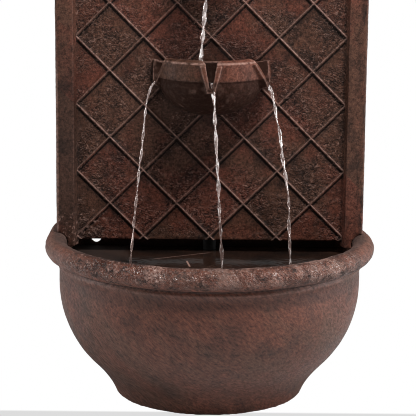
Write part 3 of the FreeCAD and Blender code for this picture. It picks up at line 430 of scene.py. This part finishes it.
# What is lighter: a painted highlight on the wet right of the rim, pink specks painted as glints, the
# rim's dust, and one patch painted as a wet highlight
wet_highlight = product(tree, wet, ramp(tree, x, -0.07, 0.02), 0.6)
# Painted glints: pink specks on the front of the rim
pink_glints = product(
    tree,
    mottle(tree, place, (230.0, 3.0, 0.6), (0.56, 0.66), (0.0, 0.9)),
    rim_top,
    ramp(tree, y, 0.02, -0.05),
)
dust = product(
    tree,
    mottle(tree, stretched(tree, place, (1.0, 0.5, 1.0)), (34.0, 3.0, 0.5), (0.4, 0.62), (0.12, 0.34)),
    rim_top,
    ramp(tree, y, -0.06, 0.0),
)
# Painted highlight: one pale wet patch on the front of the rim
sheen_patch = product(
    tree,
    stripe(tree, x, sheen_patch_x, 0.008, 0.016),
    ramp(tree, z, 0.186, 0.189),
    mottle(tree, place, (300.0, 3.0, 0.6), (0.44, 0.54)),
    front,
)
sheared_x = maths(tree, "MULTIPLY_ADD", z, 0.9, x)
slanting = build(tree, "ShaderNodeCombineXYZ", {0: sheared_x, 1: y, 2: product(tree, z, 0.6)})
bronze_skin(
    tree,
    {
        "Base": (0.1, 0.042, 0.026, 1),
        "Red": (0.12, 0.039, 0.023, 1),
        "Dark": (0.016, 0.008, 0.006, 1),
        "Light": (0.35, 0.205, 0.165, 1),
        "Place": slanting.outputs[0],
        "Patch scale": 16.0,
        "Dark share": 0.5,
        "Contrast": 0.5,
        "Tone": product(tree, ramp(tree, z, 0.09, 0.16), ramp(tree, y, 0.06, -0.04, -0.4, 0.7)),
        "Soot and shade": highest(tree, rim_blots, right_end_streak, back_wall_shade, inner_edge_shade, foot_shade, groove_shadow),
        "Rub and highlight": highest(tree, wet_highlight, pink_glints, dust, sheen_patch),
        "Edge rub": maths(tree, "SUBTRACT", 1.0, inner_edge_shade),
        "Wet": wet,
    },
    bump=0.5,
    shine=0.4,
    extra_height=crackled,
)
basin = add_piece("basin_casting", basin_mesh, "fountain", basin_paint)
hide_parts("basin")

# The back panel. A hollow-backed resin casting with a frame and a lattice of thin ribs like lapped
# tiles, each with a painted highlight on its upper edge and a black painted shadow below. The tiles
# differ in colour, and their lower halves were pressed with crumpled foil, leaving short level waves.
field_depth = 0.012
field_y = face_y + field_depth
field_half = 0.175
lattice_pitch = 0.0855
lattice_low = 0.198
left_edge_x = -0.1945
panel_cell = 0.0014
panel_mesh = casting_mesh("wall_panel", panel_cell, soften=1)
panel_points, panel_normals = mesh_arrays(panel_mesh)
faces_front = panel_normals[:, 1] < -0.7
on_field = rise(panel_points[:, 1], field_y - 0.0012, field_y - 0.0004) * faces_front
waves = lattice_noise(panel_points / np.array([0.0055, 0.01, 0.0036]), seed=11)
fine_waves = lattice_noise(panel_points / np.array([0.0032, 0.006, 0.0024]), seed=12)
pressed = np.clip(0.5 + 0.9 * lattice_noise(panel_points / 0.028, seed=13), 0.1, 1.0)
swells = lattice_noise(panel_points / np.array([0.02, 0.02, 0.035]), seed=14)
field_marks = pressed * (0.7 * waves + 0.35 * fine_waves)
frame_marks = 0.3 * swells + 0.25 * fine_waves
panel_marks = on_field * field_marks + (1 - on_field) * frame_marks
press_relief(panel_mesh, panel_points, panel_normals, depth=0.0007, marks=panel_marks)

panel_paint, tree = new_material("panel_paint")
place = object_place(tree)
x, y, z = three_axes(tree, place)
facing = three_axes(tree, build(tree, "ShaderNodeNewGeometry").outputs["True Normal"])[1]
# The field is what faces the front at the lattice's depth, inside the frame
in_field = product(
    tree,
    ramp(tree, y, field_y - 0.0042, field_y - 0.003),
    ramp(tree, y, field_y + 0.0025, field_y + 0.0017),
    stripe(tree, x, 0.0, field_half - 0.001, field_half + 0.001),
    ramp(tree, facing, -0.2, -0.35),
)
# Each way the ribs run: how bright the painted highlight on their edge is, where the painted shadow
# below them lies from their middle, and half that shadow's width
rib_runs = (("ADD", 0.95, -0.0042, 0.0023), ("SUBTRACT", 0.5, -0.004, 0.0018))
rib_crest = 0.0007
raised = maths(tree, "SUBTRACT", z, lattice_low)
rib_highlights = []
rib_shadows = []
tile_numbers = []
tile_heights = []
for run, brightness, shadow_place, shadow_half in rib_runs:
    slant = maths(tree, run, raised, x)
    across = maths(tree, "WRAP", slant, lattice_pitch / 2, -lattice_pitch / 2)
    # Painted highlight along each rib's edge, painted shadow under it, and softer painted shade below
    rib_highlights.append(stripe(tree, across, rib_crest, 0.0006, 0.0015, brightness))
    rib_shadows.append(stripe(tree, across, shadow_place, shadow_half - 0.0006, shadow_half + 0.0008, 0.97))
    shade_below_rib = ramp(tree, across, -0.013, -0.004, 0.0, 0.5)
    rib_shadows.append(product(tree, shade_below_rib, ramp(tree, across, -0.002, -0.0025)))
    tile = maths(tree, "DIVIDE", slant, lattice_pitch)
    tile_numbers.append(maths(tree, "FLOOR", tile))
    tile_heights.append(maths(tree, "FRACT", tile))
tile_key = build(tree, "ShaderNodeCombineXYZ", {0: tile_numbers[0], 1: tile_numbers[1]})
tile_tone = build(tree, "ShaderNodeTexWhiteNoise", {0: tile_key.outputs[0]}).outputs[0]
tile_height = maths(tree, "ADD", tile_heights[0], tile_heights[1])
# Crumpled foil marked the lower halves of the tiles, more in some places than in others
crumple = noise(tree, stretched(tree, place, (1.0, 1.0, 1.55)), 210.0, 3.0, 0.55, 1.4)
crumple_where = maths(tree, "ADD", noise(tree, place, 26.0), ramp(tree, tile_height, 0.3, 1.6, 0.16, -0.1))
crumple_share = product(tree, ramp(tree, crumple_where, 0.42, 0.6, 0.15, 1.0), in_field)
crumple_rub = product(tree, ramp(tree, crumple, 0.56, 0.68, 0.0, 0.6), crumple_share)
crumple_soot = product(tree, ramp(tree, crumple, 0.48, 0.38, 0.0, 0.85), crumple_share)
# Soot lies along the frame's outer corners, and painted shade lies round both bowls and on the lower left
aside = maths(tree, "ABSOLUTE", x)
edge_soot = product(
    tree,
    mottle(tree, stretched(tree, place, (1.0, 1.0, 0.16)), (190.0, 3.0, 0.6), (0.47, 0.6), (0.0, 0.85)),
    ramp(tree, aside, 0.18, 0.194),
    ramp(tree, aside, 0.196, 0.198, 1.0, 0.35),
)
shadow_break = mottle(tree, place, (38.0, 3.0, 0.6), (0.3, 0.6), (0.5, 1.0))
bowl_shadows = []
# Painted shade round each bowl
for bowl_height, shadow_reach in ((0.398, 0.1), (0.56, 0.08)):
    from_bowl = distance_from(tree, place, (0.0, 0.0, bowl_height), (1.0, 0.0, 1.3))
    bowl_shadow = ramp(tree, from_bowl, shadow_reach, 0.06, 0.0, 0.62)
    bowl_shadows.append(product(tree, bowl_shadow, shadow_break, in_field))
# Painted shade on the lower left of the frame
low_left_shade = product(tree, ramp(tree, x, -0.15, -0.17), ramp(tree, z, 0.5, 0.38, 0.0, 0.5))
field_rib_shadows = product(tree, highest(tree, *rib_shadows), in_field)
# A painted highlight, for light on the panel's side, runs along the lower left edge, and the left leg is
# speckled
lit_left_edge = stripe(tree, x, left_edge_x, 0.0012, 0.0022, 0.45)
lit_left_strip = product(tree, lit_left_edge, ramp(tree, z, 0.44, 0.4))
leg_specks = product(
    tree,
    mottle(tree, place, (190.0, 4.0, 0.7), (0.53, 0.63), (0.0, 0.9)),
    ramp(tree, z, 0.236, 0.224),
    ramp(tree, x, -0.125, -0.14),
)
frame_rub = ramp(tree, in_field, 0.0, 1.0, 0.06, 0.0)
field_rib_highlights = product(tree, highest(tree, *rib_highlights), in_field)
bronze_skin(
    tree,
    {
        "Base": (0.084, 0.036, 0.022, 1),
        "Red": (0.117, 0.036, 0.022, 1),
        "Dark": (0.007, 0.004, 0.003, 1),
        "Light": (0.35, 0.205, 0.165, 1),
        "Place": place,
        "Patch scale": 19.0,
        "Dark share": 0.72,
        "Contrast": 0.55,
        "Tone": maths(tree, "MULTIPLY_ADD", tile_tone, 1.6, -0.8),
        "Soot and shade": highest(tree, field_rib_shadows, crumple_soot, edge_soot, *bowl_shadows, low_left_shade),
        "Rub and highlight": highest(tree, field_rib_highlights, crumple_rub, lit_left_strip, leg_specks, frame_rub),
        "Edge rub": ramp(tree, in_field, 0.0, 1.0, 0.4, 0.1),
    },
    bump=0.6,
    shine=0.2,
    extra_height=product(tree, crumple, 4.0, crumple_share),
)
panel = add_piece("wall_panel_casting", panel_mesh, "fountain", panel_paint)
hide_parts("wall_panel")

# The spill bowls. Small half bowls cast in one with their pinched lips and painted like the panel,
# bolted on from behind. The lower one's band has a painted highlight line, painted shade darkens the
# cup under it, and painted shade darkens both inside, the left lip more than the right.
lower_bowl_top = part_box("lower_spill_bowl")[1].z
band_foot = lower_bowl_top - 0.024
band_highlight_height = lower_bowl_top - 0.004
lower_lip_half = 0.0705
bowl_cell = 0.0011
bowl_paint, tree = new_material("bowl_paint")
place = object_place(tree)
x, _, z = three_axes(tree, place)
# Painted shade on the cup under the band
cup_shade = product(
    tree,
    ramp(tree, z, band_foot, band_foot - 0.003, 0.0, 0.95),
    mottle(tree, stretched(tree, place, (1.0, 1.0, 1.6)), (150.0, 4.0, 0.7), (0.36, 0.56), (0.8, 1.0)),
)
# Painted shade inside the bowls, kept on their meshes
bowl_inside_shade = build(tree, "ShaderNodeAttribute", attribute_name="inside").outputs["Fac"]
# A painted highlight line along the band, broken here and there
highlight_break = mottle(tree, place, (90.0,), (0.42, 0.56))
bronze_skin(
    tree,
    {
        "Base": (0.07, 0.031, 0.019, 1),
        "Red": (0.125, 0.044, 0.028, 1),
        "Dark": (0.018, 0.006, 0.003, 1),
        "Light": (0.38, 0.22, 0.175, 1),
        "Place": place,
        "Patch scale": 26.0,
        "Dark share": 0.5,
        "Contrast": 0.45,
        "Tone": ramp(tree, x, -0.02, 0.02, -0.9, 0.9),
        "Soot and shade": highest(tree, cup_shade, bowl_inside_shade),
        "Rub and highlight": product(tree, stripe(tree, z, band_highlight_height, 0.0007, 0.0017, 0.8), highlight_break),
        "Edge rub": 1.0,
    },
    bump=0.9,
    shine=0.15,
)
for node, seed in (("lower_spill_bowl", 21), ("upper_spill_bowl", 25)):
    bowl_mesh = casting_mesh(node, bowl_cell, soften=4)
    bowl_points, bowl_normals = mesh_arrays(bowl_mesh)
    bowl_marks = 0.5 * lattice_noise(bowl_points / 0.012, seed)
    bowl_marks += 0.5 * lattice_noise(bowl_points / 0.005, seed + 1)
    # Painted shade on what faces into the bowl and on the backs of its side lips, darker at the left
    outward = bowl_points[:, 0] * bowl_normals[:, 0] + (bowl_points[:, 1] - face_y) * bowl_normals[:, 1]
    inside_shade = 0.93 * rise(outward, 0.0, -0.004)
    lip_back = (bowl_points[:, 1] > face_y - 0.02) & (np.abs(bowl_points[:, 0]) > lower_lip_half)
    inside_shade = np.maximum(inside_shade, lip_back * np.where(bowl_points[:, 0] < 0, 0.9, 0.45))
    inside = bowl_mesh.attributes.new("inside", "FLOAT", "POINT")
    inside.data.foreach_set("value", inside_shade.astype(np.float32))
    press_relief(bowl_mesh, bowl_points, bowl_normals, depth=0.0006, marks=bowl_marks)
    bowl = add_piece(node + "_casting", bowl_mesh, "fountain", bowl_paint)
    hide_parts(node)


# The pump and the fixings. Their solids are right as they are, so each gets a plain material by its
# kind: plastics with a fine spark texture, zinc with a brushed bloom, soft rubber, and the rest.
def plain_material(name, colour, rough, metal, speck_scale, speck_share, bump):
    """One colour with darker specks of a scale, whose roughness and height follow the specks."""
    made, tree = new_material(name)
    speck = noise(tree, object_place(tree), speck_scale, 4.0, 0.6)
    darker = tuple(part * (1 - speck_share) for part in colour) + (1,)
    relief = build(tree, "ShaderNodeBump", {"Strength": bump, "Distance": 0.0002, "Height": speck})
    skin_values = {
        "Base Color": mixed(tree, ramp(tree, speck, 0.35, 0.65), darker, colour + (1,)),
        "Roughness": ramp(tree, speck, 0.3, 0.7, rough + 0.08, rough - 0.08),
        "Metallic": metal,
        "Normal": relief.outputs[0],
    }
    finish_material(tree, build(tree, "ShaderNodeBsdfPrincipled", skin_values))
    return made


zinc_nodes = "bowl_studs bowl_nuts panel_screws hanger_plates hanger_screws"
rubber_nodes = "bowl_washers cable_gland suction_cups chamber_gasket rotor_bushes drain_plug"
moulded_nodes = "spout_elbow spout_nut pump_housing impeller_chamber pump_strainer outlet_nipple"
for name, colour, rough, metal, scale, share, bump, nodes in (
    ("zinc_plate", (0.6, 0.6, 0.58), 0.36, 1.0, 300.0, 0.25, 0.3, zinc_nodes),
    ("satin_brass", (0.7, 0.5, 0.24), 0.35, 1.0, 400.0, 0.2, 0.2, "panel_inserts"),
    ("soft_rubber", (0.03, 0.03, 0.032), 0.75, 0.0, 500.0, 0.3, 0.5, rubber_nodes),
    ("black_plastic", (0.035, 0.035, 0.038), 0.5, 0.0, 900.0, 0.3, 0.6, moulded_nodes),
    ("smoked_tube", (0.008, 0.007, 0.007), 0.7, 0.0, 200.0, 0.2, 0.1, "riser_tube"),
    ("black_nylon", (0.05, 0.05, 0.052), 0.42, 0.0, 600.0, 0.2, 0.3, "hose_clamps tube_clips"),
    ("white_ceramic", (0.85, 0.84, 0.8), 0.2, 0.0, 300.0, 0.03, 0.05, "rotor_shaft"),
    ("magnet_lacquer", (0.09, 0.09, 0.1), 0.4, 0.4, 500.0, 0.3, 0.3, "rotor_magnet"),
    ("pale_plastic", (0.75, 0.76, 0.76), 0.4, 0.0, 500.0, 0.05, 0.2, "impeller"),
    ("open_foam", (0.05, 0.05, 0.055), 0.9, 0.0, 1100.0, 0.7, 1.0, "filter_foam"),
    ("grey_dial", (0.5, 0.51, 0.52), 0.4, 0.0, 500.0, 0.06, 0.2, "flow_dial"),
):
    made = plain_material(name, colour, rough, metal, scale, share, bump)
    for node in nodes.split():
        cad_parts[node].data.materials.clear()
        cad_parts[node].data.materials.append(made)

# The water. The basin is nearly full and both bowls stand level with their lips. The surfaces are
# thin sheets that reach just into the castings, rippled where the streams land, with two thin painted
# reflections, lines of light, on the pool.
pool_level = 0.1765
lower_bowl_level = lower_bowl_top - 0.027
upper_bowl_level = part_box("upper_spill_bowl")[1].z - 0.0205
water_ior = 1.33
line_fade = 0.006
pool_radius = 0.187
lower_bowl_radius = 0.062
upper_bowl_radius = 0.043
pool_cell = 0.002
bowl_water_cell = 0.0015
pool_paint, tree = new_material("dark_water")
place = object_place(tree)
x, y, _ = three_axes(tree, place)
ripple = noise(tree, stretched(tree, place, (1.0, 0.6, 1.0)), 48.0, 3.0, 0.55)
ripple_bump = build(tree, "ShaderNodeBump", {"Strength": 0.25, "Distance": 0.0022, "Height": ripple})
murk_share = mottle(tree, place, (20.0, 4.0), (0.35, 0.65))
murk = mixed(tree, murk_share, (0.01, 0.007, 0.006, 1), (0.032, 0.016, 0.011, 1))
# Each painted reflection line: its two ends, half its width and its strength
for start, end, half_wide, strength in (
    ((-0.0716, 0.0475), (0.002, 0.0877), 0.0022, 0.28),
    ((-0.029, 0.0408), (-0.0241, 0.0052), 0.0017, 0.85),
):
    length = math.dist(start, end)
    run_x = (end[0] - start[0]) / length
    run_y = (end[1] - start[1]) / length
    from_x = maths(tree, "SUBTRACT", x, start[0])
    from_y = maths(tree, "SUBTRACT", y, start[1])
    sideways = maths(tree, "MULTIPLY_ADD", from_x, run_y, product(tree, from_y, -run_x))
    along = maths(tree, "MULTIPLY_ADD", from_x, run_x, product(tree, from_y, run_y))
    line = product(
        tree,
        stripe(tree, sideways, 0.0, half_wide * 0.3, half_wide, strength),
        ramp(tree, along, 0.0, line_fade),
        ramp(tree, along, length, length - line_fade),
    )
    murk = mixed(tree, line, murk, (0.42, 0.24, 0.19, 1))
pool_values = {
    "Base Color": murk,
    "Roughness": ramp(tree, x, -0.116, -0.1, 0.7, 0.11),
    "IOR": water_ior,
    "Normal": ripple_bump.outputs[0],
}
finish_material(tree, build(tree, "ShaderNodeBsdfPrincipled", pool_values))


def water_sheet(name, centre, radius, back, level, cell, landings):
    """A level sheet of water inside a round wall that is cut off at the back, ringed at its landings."""
    ring_height = 0.0003
    ring_width = 0.0014
    ring_reach = 0.011
    steps = int(radius / cell)
    side = np.arange(-steps, steps + 1) * cell
    across, along = np.meshgrid(centre[0] + side, centre[1] + side)
    height = np.full(across.shape, level)
    for landing_x, landing_y in landings:
        away = np.hypot(across - landing_x, along - landing_y)
        height += ring_height * np.sin(away / ring_width) * np.exp(-away / ring_reach)
    points = np.stack([across, along, height], axis=-1).reshape(-1, 3)
    count = 2 * steps + 1
    first = (np.arange(count - 1)[:, None] * count + np.arange(count - 1)).ravel()
    faces = np.stack([first, first + 1, first + count + 1, first + count], axis=1)
    middle = points[faces].mean(axis=1)
    inside = (np.hypot(middle[:, 0] - centre[0], middle[:, 1] - centre[1]) < radius) & (middle[:, 1] < back)
    mesh = bpy.data.meshes.new(name)
    used, numbers = np.unique(faces[inside], return_inverse=True)
    mesh.from_pydata(points[used].tolist(), [], numbers.reshape(-1, 4).tolist())
    mesh.polygons.foreach_set("use_smooth", [True] * len(mesh.polygons))
    add_piece(name, mesh, "fountain", pool_paint)


left_landing = (-0.099, 0.022)
centre_landing = (0.016, 0.0045)
right_landing = (0.1015, 0.0245)
lower_bowl_landing = (-0.0144, 0.03)
upper_bowl_landing = (0.0, 0.05)
pool_centre = (0.0, face_y)
pool_back = face_y + 0.053
bowl_centre = (0.0, face_y - 0.001)
bowl_back = face_y + 0.007
landings = (left_landing, centre_landing, right_landing)
water_sheet("basin_water", pool_centre, pool_radius, pool_back, pool_level, pool_cell, landings)
for name, radius, level, landing in (
    ("lower_bowl_water", lower_bowl_radius, lower_bowl_level, lower_bowl_landing),
    ("upper_bowl_water", upper_bowl_radius, upper_bowl_level, upper_bowl_landing),
):
    water_sheet(name, bowl_centre, radius, bowl_back, level, bowl_water_cell, (landing,))

# The streams. Thin twisting ribbons of clear water that swell and pinch as they fall, with white
# painted glints along them that glow by themselves and fade lower down. They leave the spout and the
# lips and end on the water below.
stream_paint, tree = new_material("falling_water")
place = object_place(tree)
x, _, z = three_axes(tree, place)
flow = noise(tree, stretched(tree, place, (1.0, 1.0, 0.3)), 430.0)
beads = noise(tree, stretched(tree, place, (0.5, 0.5, 0.5)), 170.0)
flow_bump = build(tree, "ShaderNodeBump", {"Strength": 0.7, "Distance": 0.001, "Height": flow})
gleam_colour = mixed(tree, ramp(tree, z, 0.18, 0.4), (0.4, 0.3, 0.27, 1), (1, 0.97, 0.96, 1))
gleam_values = {"Color": gleam_colour, "Roughness": 0.15, "Normal": flow_bump.outputs[0]}
gleam = build(tree, "ShaderNodeBsdfGlossy", gleam_values)
# Painted glints: white light that glows from the water itself
painted_glint = build(tree, "ShaderNodeEmission", {"Color": (1, 0.95, 0.93, 1), "Strength": 0.85})
haze = build(tree, "ShaderNodeBsdfDiffuse", {"Color": (0.55, 0.38, 0.34, 1)})
clear = build(tree, "ShaderNodeBsdfTransparent", {"Color": (0.96, 0.93, 0.92, 1)})
misty = build(tree, "ShaderNodeMixShader", {0: 0.5, 1: gleam.outputs[0], 2: haze.outputs[0]})
shown = product(tree, ramp(tree, beads, 0.38, 0.6, 0.25, 0.65), ramp(tree, z, 0.18, 0.21, 0.6, 1.0))
ribbon = build(tree, "ShaderNodeMixShader", {0: shown, 1: clear.outputs[0], 2: misty.outputs[0]})
glint_dashes = product(
    tree,
    ramp(tree, flow, 0.56, 0.62),
    ramp(tree, beads, 0.42, 0.54, 0.15, 1.0),
    ramp(tree, x, -0.075, -0.04, 0.35, 1.0),
    ramp(tree, z, 0.2, 0.36, 0.3, 1.0),
)
stream_parts = {0: glint_dashes, 1: ribbon.outputs[0], 2: painted_glint.outputs[0]}
finish_material(tree, build(tree, "ShaderNodeMixShader", stream_parts))


def stream(name, radius, seed, route):
    """A falling ribbon along a smooth curve through the route's points."""
    step = 0.0015
    sides = 10
    flatness = 0.45
    twist_length = 0.009
    wander_length = 0.014
    wander_width = 0.0009
    smoothings = 40
    route = np.array(route)
    length = np.concatenate([[0], np.cumsum(np.linalg.norm(np.diff(route, axis=0), axis=1))])
    count = int(length[-1] / step)
    along = np.linspace(0, length[-1], count)
    middle = np.stack([np.interp(along, length, route[:, axis]) for axis in range(3)], axis=1)
    for _ in range(smoothings):
        middle[1:-1] = (middle[:-2] + 2 * middle[1:-1] + middle[2:]) / 4
    half = np.full(count, 0.5)
    noise_line = np.stack([along / wander_length, half, half], axis=1)
    aside, swelling, turning = (lattice_noise(noise_line, seed + change) for change in range(3))
    middle[:, 0] += wander_width * aside
    swell = radius * (1 + 0.35 * swelling)
    turn = (along / twist_length + 1.5 * turning)[:, None]
    angle = np.linspace(0, 2 * math.pi, sides, endpoint=False)
    wide = swell[:, None] * np.cos(angle)
    thin = flatness * swell[:, None] * np.sin(angle)
    points = np.zeros((count, sides, 3))
    points[:, :, 0] = middle[:, 0, None] + wide * np.cos(turn) - thin * np.sin(turn)
    points[:, :, 1] = middle[:, 1, None] + wide * np.sin(turn) + thin * np.cos(turn)
    points[:, :, 2] = middle[:, 2, None]
    faces = []
    for row in range(count - 1):
        for column in range(sides):
            after = (column + 1) % sides
            low = (row + 1) * sides
            faces.append((row * sides + column, row * sides + after, low + after, low + column))
    mesh = bpy.data.meshes.new(name)
    mesh.from_pydata(points.reshape(-1, 3).tolist(), [], faces)
    mesh.polygons.foreach_set("use_smooth", [True] * len(mesh.polygons))
    add_piece(name, mesh, "fountain", stream_paint)


just_under = 0.0005
spout_fall = [(0, 0.061, 0.622), (0, 0.056, 0.612), (0, 0.051, 0.59), (0, 0.049, 0.567)]
upper_bowl_fall = [
    (0, 0.03, 0.567),
    (-0.0005, 0.021, 0.565),
    (-0.003, 0.0165, 0.55),
    (-0.0075, 0.016, 0.506),
    (*lower_bowl_landing, lower_bowl_level - just_under),
]
left_fall = [
    (-0.056, 0.07, lower_bowl_level),
    (-0.069, 0.066, 0.4035),
    (-0.0745, 0.058, 0.396),
    (-0.08, 0.0535, 0.3776),
    (-0.0845, 0.047, 0.3316),
    (-0.0902, 0.041, 0.279),
    (-0.0945, 0.0345, 0.235),
    (*left_landing, pool_level - just_under),
]
centre_fall = [
    (0.0005, 0.02, lower_bowl_level),
    (0.0015, 0.004, 0.402),
    (0.003, 0.0012, 0.394),
    (0.0081, 0.002, 0.313),
    (*centre_landing, pool_level - just_under),
]
right_fall = [
    (0.056, 0.064, lower_bowl_level),
    (0.0695, 0.0605, 0.4035),
    (0.0745, 0.054, 0.394),
    (0.0776, 0.05, 0.3828),
    (0.0845, 0.0445, 0.35),
    (0.0918, 0.0395, 0.3),
    (0.0985, 0.0345, 0.258),
    (*right_landing, pool_level - just_under),
]
for name, radius, seed, route in (
    ("spout_stream", 0.0028, 40, spout_fall),
    ("upper_stream", 0.0029, 50, upper_bowl_fall),
    ("left_stream", 0.0019, 60, left_fall),
    ("centre_stream", 0.0024, 70, centre_fall),
    ("right_stream", 0.0024, 80, right_fall),
):
    stream(name, radius, seed, route)
